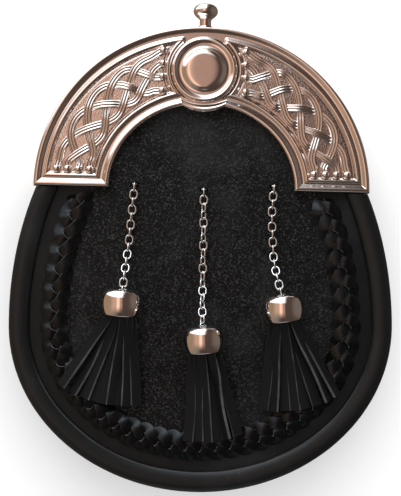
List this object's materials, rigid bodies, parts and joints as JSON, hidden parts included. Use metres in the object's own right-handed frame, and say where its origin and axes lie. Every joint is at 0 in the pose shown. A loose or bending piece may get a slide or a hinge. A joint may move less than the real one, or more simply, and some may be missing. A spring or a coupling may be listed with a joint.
{
  "type": "sporran pouch",
  "caption": "Oval leather sporran pouch lying on its back, with a cast knotwork cantle and press knob, a laced braid, and chained tassels under domed metal caps.",
  "frame": {"origin": "middle of the footprint, on the surface that the pouch lies on", "axes": "+Z out of the decorated front, +Y towards the knob at the top, +X to the right of someone who faces the front"},
  "size_m": [0.169, 0.2154, 0.0448],
  "materials": {
    "smooth_leather": "black finished leather, softly glossy, grained in the middle",
    "braid_leather": "black lace with paler cut edges",
    "strip_leather": "black matt leather strips with paler cut edges",
    "cast_metal": "bright plated casting with a fine stippled ground",
    "polished_metal": "polished plated metal",
    "chain_metal": "bright plated wire"
  },
  "bodies": {
    "pouch": {"front_panel": "smooth_leather", "back_panel": "smooth_leather", "gusset": "smooth_leather", "belt_loop_left": "smooth_leather", "belt_loop_right": "smooth_leather", "braid": "braid_leather", "cantle": "cast_metal", "rear_frame": "cast_metal", "centre_boss": "polished_metal", "catch_collar": "polished_metal", "chain_left": "chain_metal", "chain_middle": "chain_metal", "chain_right": "chain_metal", "cap_left": "polished_metal", "cap_middle": "polished_metal", "cap_right": "polished_metal", "tassel_left": "strip_leather", "tassel_middle": "strip_leather", "tassel_right": "strip_leather"},
    "knob": {"catch_knob": "polished_metal"}
  },
  "joints": [
    {"name": "catch_press", "type": "slide", "parent": "pouch", "child": "knob", "axis": [-0.0244, -0.9997, 0], "range_m": [0, 0.002], "stiffness_N_per_m": 300, "springref_m": -0.001}
  ]
}
